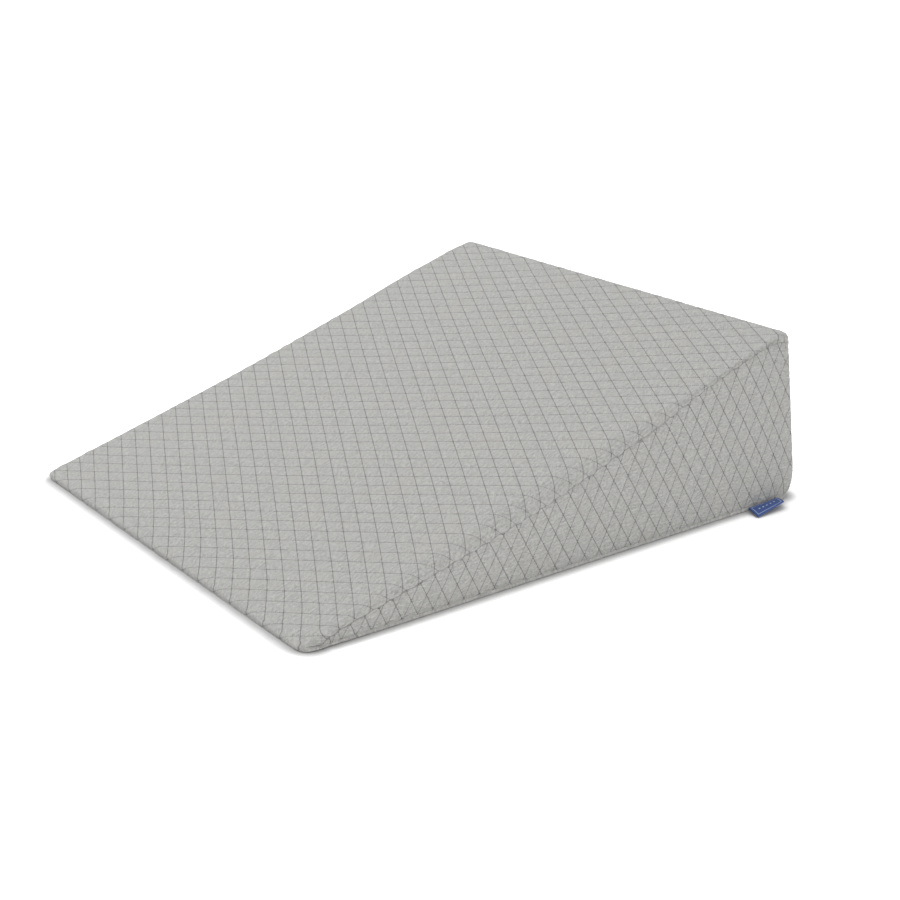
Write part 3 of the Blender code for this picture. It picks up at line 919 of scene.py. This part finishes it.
def stitches(lines, points, normals, radius, stitch, gap, seed):
    """Points and faces of all stitches along some lines.

    A stitch's centre line is read from the ruler at four shares of its length. The first and last
    are tips, and round the other two lies a ring of three points at radius (cos a, sin a) in the
    plane of the cloth's normal and the line's own side direction.
    """
    chain, ruler, start, length = long_ruler(lines, points)
    count = np.maximum((length / (stitch + gap)).astype(int), 1)
    pitch = np.repeat(length / count, count)
    order = np.arange(count.sum()) - np.repeat(np.cumsum(count) - count, count)
    wobble = np.random.default_rng(seed).uniform(-STITCH_WOBBLE, STITCH_WOBBLE, len(pitch)) * gap
    begin = np.repeat(start, count) + pitch * (order + 0.5) - stitch / 2 + wobble
    at = begin[:, None] + stitch * STITCH_SHARES
    centre = np.stack([np.interp(at, ruler, points[chain, k]) for k in range(3)], axis=-1)
    normal = unit(np.stack([np.interp(at, ruler, normals[chain, k]) for k in range(3)], axis=-1))
    centre = centre + normal * (STITCH_RISE * radius)[None, :, None]
    side = unit(np.cross(unit(centre[:, -1] - centre[:, 0])[:, None], normal))
    ring = (centre[:, 1:3, None]
            + radius * np.cos(RING_ANGLES)[:, None] * side[:, 1:3, None]
            + radius * np.sin(RING_ANGLES)[:, None] * normal[:, 1:3, None])
    body = np.concatenate([centre[:, :1], ring.reshape(len(pitch), 6, 3), centre[:, 3:]], axis=1)
    faces = STITCH_FACES[None] + 8 * np.arange(len(pitch))[:, None, None]
    return body.reshape(-1, 3), faces.reshape(-1, 3)


print("a stitch has", STITCH_FACES.max() + 1, "points and", len(STITCH_FACES), "triangles")


# %% [markdown]
# ## The label
# A short woven tape is folded double, and its two raw ends are caught in the seam at the foot. The
# sheet is worked out as its middle surface: one parameter runs along the seam, the other along the
# tape, out on the upper layer, round the fold and back on the lower one. The two faces are half a
# thickness to each side. Its face carries a plain woven frame and a row of small diamonds.

# %% Folded label
LABEL_CORNERS = {           # places of the folded label's four corners
    "seam, thin end": (0.2550, -0.3005, 0.0032),
    "seam, tall end": (0.3000, -0.3005, 0.0048),
    "free, thin end": (0.2490, -0.3216, 0.0012),
    "free, tall end": (0.2928, -0.3188, 0.0078),
}
LABEL_LAYER = 0.0005        # the tape's thickness
LABEL_GAP = 0.0003          # between its two layers
LABEL_SAG = 0.0010          # how far the middle stands up
LABEL_STEPS = (90, 100)     # along the seam and along the tape
label_corner = {name: np.array(place) for name, place in LABEL_CORNERS.items()}
LABEL_DEPTH, LABEL_LONG = (
    float(np.linalg.norm(label_corner[name] - label_corner["seam, thin end"]))
    for name in ("free, thin end", "seam, tall end"))
fold_radius = (LABEL_LAYER + LABEL_GAP) / 2
LABEL_TAPE = 2 * (LABEL_DEPTH - fold_radius - LABEL_LAYER / 2) + math.pi * fold_radius


def label_sheet(offset):
    """Points of the tape's middle surface moved by offset towards its outer face.

    Along the tape the section is straight, then half a circle of fold_radius + offset, then straight.
    """
    u, v = np.meshgrid(np.linspace(0, 1, LABEL_STEPS[0] + 1),
                       np.linspace(-1, 1, LABEL_STEPS[1] + 1) * LABEL_TAPE / 2, indexing="ij")
    half_turn = math.pi * fold_radius / 2
    straight = LABEL_TAPE / 2 - half_turn
    turn = np.clip(v / fold_radius, -math.pi / 2, math.pi / 2)
    way_out = straight - np.maximum(abs(v) - half_turn, 0) + (fold_radius + offset) * np.cos(turn)
    rise = -(fold_radius + offset) * np.sin(turn)
    share = (way_out / LABEL_DEPTH)[..., None]
    u = u[..., None]
    root = label_corner["seam, thin end"] * (1 - u) + label_corner["seam, tall end"] * u
    tip = label_corner["free, thin end"] * (1 - u) + label_corner["free, tall end"] * u
    sag = LABEL_SAG * 4 * share * (1 - share)
    return root + (tip - root) * share + (sag + rise[..., None]) * np.array([0.0, 0.0, 1.0])


def grid_quads(index):
    """The faces of a grid of points, given by their numbers."""
    corners = [index[:-1, :-1], index[1:, :-1], index[1:, 1:], index[:-1, 1:]]
    return np.stack(corners, axis=-1).reshape(-1, 4)


outer, inner = label_sheet(LABEL_LAYER / 2), label_sheet(-LABEL_LAYER / 2)
rows, columns = outer.shape[:2]
size = rows * columns
index = np.arange(size).reshape(rows, columns)
border = np.concatenate([index[:-1, 0], index[-1, :-1], index[:0:-1, -1], index[0, :0:-1]])
band = np.stack([border, border + size, np.roll(border, -1) + size, np.roll(border, -1)], axis=1)
label_faces = np.concatenate([grid_quads(index), grid_quads(index + size)[:, ::-1], band])
label_mesh = mesh_of("label_tape", np.concatenate([outer, inner]).reshape(-1, 3), label_faces)
tape_uv = label_mesh.uv_layers.new(name="tape")
u, v = np.meshgrid(np.linspace(0, LABEL_LONG, rows), np.linspace(-1, 1, columns) * LABEL_TAPE / 2,
                   indexing="ij")
flat_uv = np.tile(np.stack([u, v], axis=-1).reshape(-1, 2), (2, 1))
tape_uv.data.foreach_set("uv", flat_uv[label_faces.ravel()].astype(np.float32).ravel())
print("label tape", round(LABEL_LONG * 1000, 1), "x", round(LABEL_TAPE * 1000, 1), "mm")

# %% [markdown]
# ## Materials
# Every material here is made of nodes: small operations that are worked out for each point of a
# surface. A few short helpers place one node each, set its values and link its inputs, so that a
# material further down reads like a formula.

# %% Node helpers
def new_material(name):
    """A material with its node tree and its Principled BSDF."""
    material = bpy.data.materials.new(name)
    material.use_nodes = True
    return material, material.node_tree, material.node_tree.nodes["Principled BSDF"]


def node(tree, kind, inputs=None, **settings):
    """A node of a kind; an input that is another node's socket is linked, any other is set."""
    made = tree.nodes.new(kind)
    for key, value in settings.items():
        setattr(made, key, value)
    for key, value in (inputs or {}).items():
        if isinstance(value, bpy.types.NodeSocket):
            tree.links.new(value, made.inputs[key])
        else:
            made.inputs[key].default_value = value
    return made


def maths(tree, operation, a, b=0.0, c=0.0):
    return node(tree, "ShaderNodeMath", {0: a, 1: b, 2: c}, operation=operation).outputs[0]


def remap(tree, value, low, high, to_low=0.0, to_high=1.0):
    """The value moved from the range low to high into another one, and kept inside it."""
    made = node(tree, "ShaderNodeMapRange", {0: value, 1: low, 2: high, 3: to_low, 4: to_high})
    return made.outputs[0]


def mix_colour(tree, share, a, b):
    """Colour a where the share is 0, b where it is 1."""
    made = node(tree, "ShaderNodeMix", {0: share, 6: a, 7: b}, data_type="RGBA")
    return made.outputs[2]


def stretched_noise(tree, vector, per_metre, detail, roughness):
    """A noise with so many waves to a metre along each coordinate."""
    scaled = node(tree, "ShaderNodeVectorMath", {0: vector, 1: per_metre}, operation="MULTIPLY")
    made = node(tree, "ShaderNodeTexNoise",
                {"Vector": scaled.outputs[0], "Scale": 1.0, "Detail": detail, "Roughness": roughness})
    return made.outputs["Fac"]


# %% [markdown]
# ## The jersey
# The jersey is a heather: light and dark fibres are spun together, so the cloth is streaked along its
# courses. The streaks and the knit read the cloth's own flat coordinates, in metres, so they run
# along the cloth on every panel. They are one node group, so that the effect is a single node in the
# material. What varies comes out of the group, a colour and a height; what is the same all over the
# cloth, such as its roughness, is set on the shader.

# %% Heather group
CREASE_TURN = -math.radians(22)     # the small creases run at this angle to the courses
WALE, COURSE = 0.0011, 0.0008       # size of a knitted loop across and along the courses


def heather_group():
    """Streaks of light and dark fibre along a cloth's courses, and the knit's own relief.

    Each streak layer is a noise stretched along the first coordinate. The height adds the loops of
    the knit, a product of two sines, to the fuzz and the small creases. The colour goes towards the
    dark fibre in the creases' valleys, as painted shade.
    """
    group = bpy.data.node_groups.new("heather knit", "ShaderNodeTree")
    face = group.interface
    for name, kind in (("Vector", "NodeSocketVector"), ("Light", "NodeSocketColor"),
                       ("Dark", "NodeSocketColor"), ("Patchy", "NodeSocketColor")):
        face.new_socket(name, in_out="INPUT", socket_type=kind)
    for name, kind in (("Colour", "NodeSocketColor"), ("Height", "NodeSocketFloat")):
        face.new_socket(name, in_out="OUTPUT", socket_type=kind)
    into, out = node(group, "NodeGroupInput"), node(group, "NodeGroupOutput")
    vector = into.outputs["Vector"]
    long_streaks = stretched_noise(group, vector, (70, 420, 0), 3.0, 0.6)
    short_streaks = stretched_noise(group, vector, (330, 1500, 0), 2.0, 0.6)
    fibres = stretched_noise(group, vector, (1500, 4200, 0), 1.0, 0.5)
    patches = stretched_noise(group, vector, (16, 24, 0), 2.0, 0.5)
    grains = stretched_noise(group, vector, (300, 420, 0), 2.0, 0.65)
    streaks = maths(group, "ADD", maths(group, "MULTIPLY", long_streaks, 0.28),
                    maths(group, "ADD", maths(group, "MULTIPLY", short_streaks, 0.30),
                          maths(group, "MULTIPLY", grains, 0.42)))
    share = remap(group, streaks, 0.41, 0.59)
    heather = mix_colour(group, share, into.outputs["Dark"], into.outputs["Light"])
    patchy = remap(group, patches, 0.52, 0.72, 0.0, 0.35)
    cloth = mix_colour(group, patchy, heather, into.outputs["Patchy"])

    parts = node(group, "ShaderNodeSeparateXYZ", {0: vector})
    wales = maths(group, "SINE", maths(group, "MULTIPLY", parts.outputs[1], 2 * math.pi / WALE))
    courses = maths(group, "SINE", maths(group, "MULTIPLY", parts.outputs[0], 2 * math.pi / COURSE))
    loops = maths(group, "MULTIPLY", maths(group, "MULTIPLY", wales, courses), 0.05)
    turned = node(group, "ShaderNodeVectorRotate", {"Vector": vector, "Angle": CREASE_TURN},
                  rotation_type="Z_AXIS").outputs[0]
    creases = stretched_noise(group, turned, (170, 430, 0), 2.0, 0.6)
    fuzz = maths(group, "ADD", maths(group, "MULTIPLY", grains, 0.7),
                 maths(group, "MULTIPLY", fibres, 0.10))
    height = maths(group, "ADD", maths(group, "MULTIPLY", creases, 1.5),
                   maths(group, "ADD", fuzz, loops))
    group.links.new(height, out.inputs["Height"])
    # Painted shade: the colour goes towards the dark fibre in the valleys of the small creases
    crease_shade = remap(group, creases, 0.52, 0.36, 0.0, 0.60)
    group.links.new(mix_colour(group, crease_shade, cloth, into.outputs["Dark"]), out.inputs["Colour"])
    return group


# %% Jersey
# Painted shade: the cloth's colour down at a stitch line and on a seam, where little light gets
PAINTED_LINE_SHADE = (0.12, 0.12, 0.115, 1)      # the colour down at a stitch line


def jersey_material():
    """The heather, with painted shade towards the stitch lines and the seams, and the knit as a fine
    bump.
    """
    material, tree, shader = new_material("heather_jersey")
    cloth = node(tree, "ShaderNodeUVMap", uv_map="cloth").outputs[0]
    knit = node(tree, "ShaderNodeGroup", node_tree=heather_group())
    tree.links.new(cloth, knit.inputs["Vector"])
    knit.inputs["Light"].default_value = (0.458, 0.457, 0.444, 1)
    knit.inputs["Dark"].default_value = (0.304, 0.304, 0.296, 1)
    knit.inputs["Patchy"].default_value = (0.402, 0.387, 0.364, 1)
    line = node(tree, "ShaderNodeAttribute", attribute_name="on_line").outputs["Fac"]
    # painted shade towards the stitch lines and the seams
    line_shade = remap(tree, line, 0.92, 1.0, 0.0, 0.60)
    colour = mix_colour(tree, line_shade, knit.outputs["Colour"], PAINTED_LINE_SHADE)
    tree.links.new(colour, shader.inputs["Base Color"])
    bump = node(tree, "ShaderNodeBump", {"Height": knit.outputs["Height"], "Distance": 0.0019,
                                         "Strength": 1.0})
    tree.links.new(bump.outputs[0], shader.inputs["Normal"])
    shader.inputs["Roughness"].default_value = 0.92
    shader.inputs["Specular IOR Level"].default_value = 0.25
    shader.inputs["Sheen Weight"].default_value = 0.15
    shader.inputs["Sheen Roughness"].default_value = 0.5
    return material


# %% [markdown]
# ## The thread and the woven label
# The thread is a dark yarn, a little lighter and darker along its twist. The label is woven from a
# blue yarn, with a pale one that comes to the face in the pattern. The weave is a product of two
# sines, and the pattern is worked out from the distances to the tape's edge and to its middle.

# %% Thread
def thread_material(name, colour):
    """Yarn of one colour, varied by a quarter either way."""
    material, tree, shader = new_material(name)
    where = node(tree, "ShaderNodeTexCoord").outputs["Object"]
    twist = stretched_noise(tree, where, (900, 900, 900), 2.0, 0.5)
    dark = tuple(0.75 * c for c in colour) + (1,)
    light = tuple(1.25 * c for c in colour) + (1,)
    tree.links.new(mix_colour(tree, remap(tree, twist, 0.35, 0.65), dark, light),
                   shader.inputs["Base Color"])
    shader.inputs["Roughness"].default_value = 0.6
    return material


# %% Woven tape
RIB, WARP = 0.0006, 0.0005              # one rib across the tape, one thread along it
FRAME_INSET, FRAME_HALF = 0.0028, 0.00035       # the frame's distance from the edge, half its width
ROW_STEP, ROW_SIZE, ROW_END = 0.0030, 0.0016, 0.008     # the row of diamonds, and its gap at the ends
TAPE_DARK, TAPE_BLUE = (0.018, 0.058, 0.24, 1), (0.026, 0.078, 0.29, 1)
TAPE_PALE = (0.42, 0.52, 0.72, 1)


def tape_material():
    """Woven tape: fine ribs across, a plain pale frame, and a row of small diamonds inside it."""
    material, tree, shader = new_material("woven_tape_blue")
    tape = node(tree, "ShaderNodeUVMap", uv_map="tape").outputs[0]
    parts = node(tree, "ShaderNodeSeparateXYZ", {0: tape})
    u, v = parts.outputs[0], parts.outputs[1]
    ribs = maths(tree, "SINE", maths(tree, "MULTIPLY", v, 2 * math.pi / RIB))
    warps = maths(tree, "SINE", maths(tree, "MULTIPLY", u, 2 * math.pi / WARP))
    weave = maths(tree, "MULTIPLY", ribs, warps)
    face_middle = LABEL_TAPE / 4
    across = maths(tree, "ABSOLUTE",
                   maths(tree, "SUBTRACT", maths(tree, "ABSOLUTE", v), face_middle))
    along = maths(tree, "ABSOLUTE", maths(tree, "SUBTRACT", u, LABEL_LONG / 2))
    from_edge = maths(tree, "MINIMUM", maths(tree, "SUBTRACT", face_middle, across),
                      maths(tree, "SUBTRACT", LABEL_LONG / 2, along))
    from_frame = maths(tree, "ABSOLUTE", maths(tree, "SUBTRACT", from_edge, FRAME_INSET))
    frame_line = maths(tree, "LESS_THAN", from_frame, FRAME_HALF)
    step = maths(tree, "PINGPONG", along, ROW_STEP)
    small = maths(tree, "ADD", step, maths(tree, "MULTIPLY", across, 1.1))
    inside = maths(tree, "LESS_THAN", along, LABEL_LONG / 2 - ROW_END)
    diamonds = maths(tree, "MULTIPLY", maths(tree, "LESS_THAN", small, ROW_SIZE), inside)
    pale = maths(tree, "MAXIMUM", frame_line, diamonds)
    ground = mix_colour(tree, remap(tree, weave, -1.0, 1.0), TAPE_DARK, TAPE_BLUE)
    tree.links.new(mix_colour(tree, pale, ground, TAPE_PALE), shader.inputs["Base Color"])
    bump = node(tree, "ShaderNodeBump", {"Height": weave, "Distance": 0.00008, "Strength": 0.7})
    tree.links.new(bump.outputs[0], shader.inputs["Normal"])
    shader.inputs["Roughness"].default_value = 0.62
    shader.inputs["Sheen Weight"].default_value = 0.1
    return material


# %% [markdown]
# ## Dressing the imported part
# The cover stands in for the imported cushion, and the folded tape for the imported label, which are
# hidden. Nothing on the pillow moves, so every piece rides on the one body.

# %% Dress the cover
def dress(item, material):
    """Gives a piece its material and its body."""
    item.data.materials.append(material)
    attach(item, "root")
    return item


dress(cover, jersey_material())
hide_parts("cushion")
print("the cover is", [round(size, 4) for size in cover.dimensions], "m large")

# %% Dress the thread and the label
def new_object(name, mesh):
    """An object for a mesh, placed in the scene."""
    item = bpy.data.objects.new(name, mesh)
    bpy.context.scene.collection.objects.link(item)
    return item


cover_normals = mesh_normals(cover_mesh)
thread = thread_material("dark_thread", (0.060, 0.058, 0.056))
SIDES = ("near side", "far side", "back")
THREADS = {         # panels, family of lines, the thread's radius, stitch and gap
    "quilt_thread_top_one": (("top",), 0, 0.00025, 0.0017, 0.0007),
    "quilt_thread_top_two": (("top",), 1, 0.00029, 0.0012, 0.0010),
    "quilt_thread_sides_one": (SIDES, 0, 0.00032, 0.0017, 0.0006),
    "quilt_thread_sides_two": (SIDES, 1, 0.00033, 0.0011, 0.0009),
}
for seed, (name, (cloths, family, *sizes)) in enumerate(THREADS.items()):
    lines = [line for cloth in cloths for line in panels[cloth]["lines"][family]]
    body, body_faces = stitches(lines, points, cover_normals, *sizes, seed)
    dress(new_object(name, mesh_of(name, body, body_faces)), thread)
    print(name, len(body_faces), "triangles")

label = dress(new_object("label_tape", label_mesh), tape_material())
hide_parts("label")

# %% [markdown]
# ## Floor and light
# The photograph has a pure white ground and a very soft light: the pillow has no cast shadow, only a
# narrow darkening where it touches the ground. The ground is lit past white, so a real shadow would
# hardly show on it. Its material asks an ambient occlusion node instead how much of the sky the
# pillow hides from each point, and darkens the ground there, further out beside the thin edge than
# beside the sides.

# %% Floor
FLOOR_HALF = 40.0           # half the floor's side, so large that its rim is out of sight
FLOOR_GAP = 0.0002          # the floor lies this far below the pillow, so that no faces coincide
FLOOR_GLOW = 0.35           # lifts the ground to pure white
FLOOR_LIGHT = 0.9           # the ground's own colour away from the pillow
SHADOW_REACH = (0.050, 0.016)       # how far the pillow darkens the ground: the thin edge, the rest
SHADOW_POWER = (7.5, 1.8)           # how slowly the ground clears, at the same two places
SHADOW_OPEN = (0.46, 0.985)         # open sky in the deepest shadow, and where the shadow ends
SHADOW_DARK = 0.46                  # the ground's colour in the deepest shadow
THIN_ZONE = (-0.004, 0.030)         # from the thin edge's way to the rest's, over this distance
floor_corners = FLOOR_HALF * np.array([(-1, -1, 0), (1, -1, 0), (1, 1, 0), (-1, 1, 0)])
floor_mesh = mesh_of("floor", floor_corners, np.array([(0, 1, 2, 3)]), smooth=False)
floor = new_object("floor", floor_mesh)
floor.location.z = -FLOOR_GAP
floor_material, floor_tree, floor_shader = new_material("pale_floor")
ground = node(floor_tree, "ShaderNodeTexCoord").outputs["Object"]
ground_x = node(floor_tree, "ShaderNodeSeparateXYZ", {0: ground}).outputs[0]
beside = remap(floor_tree, ground_x, *(-LENGTH / 2 + at for at in THIN_ZONE))
reach = remap(floor_tree, beside, 0.0, 1.0, *SHADOW_REACH)
power = remap(floor_tree, beside, 0.0, 1.0, *SHADOW_POWER)
touch = node(floor_tree, "ShaderNodeAmbientOcclusion", {"Distance": reach}, samples=16)
clear = maths(floor_tree, "POWER", remap(floor_tree, touch.outputs["AO"], *SHADOW_OPEN), power)
shade = remap(floor_tree, clear, 0.0, 1.0, SHADOW_DARK, FLOOR_LIGHT)
shade_colour = node(floor_tree, "ShaderNodeCombineColor", {0: shade, 1: shade, 2: shade}).outputs[0]
floor_tree.links.new(shade_colour, floor_shader.inputs["Base Color"])
floor_shader.inputs["Emission Color"].default_value = (1, 1, 1, 1)
floor_tree.links.new(maths(floor_tree, "MULTIPLY", clear, FLOOR_GLOW),
                     floor_shader.inputs["Emission Strength"])
floor_shader.inputs["Roughness"].default_value = 0.9
floor_shader.inputs["Specular IOR Level"].default_value = 0.1
floor_mesh.materials.append(floor_material)
print("floor", 2 * FLOOR_HALF, "m wide")

# %% [markdown]
# The light is a white world all round. A broad lamp high over the far side makes the top a little
# brighter than the sides, and a weaker, slightly warm one in front lights the near side and the thin
# edge.

# %% World and lamps
WORLD_LIGHT = 1.0
world = bpy.data.worlds.new("studio")
world.use_nodes = True
world.node_tree.nodes["Background"].inputs["Color"].default_value = (1, 1, 1, 1)
world.node_tree.nodes["Background"].inputs["Strength"].default_value = WORLD_LIGHT
bpy.context.scene.world = world


def soft_lamp(name, place, aim, size, power, colour=(1, 1, 1)):
    """A square lamp at a place, turned towards a point, with its size in metres and its watts."""
    lamp = new_object(name, bpy.data.lights.new(name, "AREA"))
    lamp.location = place
    lamp.rotation_euler = (Vector(aim) - Vector(place)).to_track_quat("-Z", "Y").to_euler()
    lamp.data.size = size
    lamp.data.energy = power
    lamp.data.color = colour


soft_lamp("overhead", (-0.6, 0.9, 2.2), (0, 0, 0.1), 1.2, 24.5)
soft_lamp("front_fill", (-1.1, -1.9, 0.9), (-0.2, -0.3, 0.05), 1.4, 8, (1.0, 0.955, 0.91))
bpy.context.scene.view_settings.view_transform = "Standard"
print("world at", WORLD_LIGHT, "and two lamps")
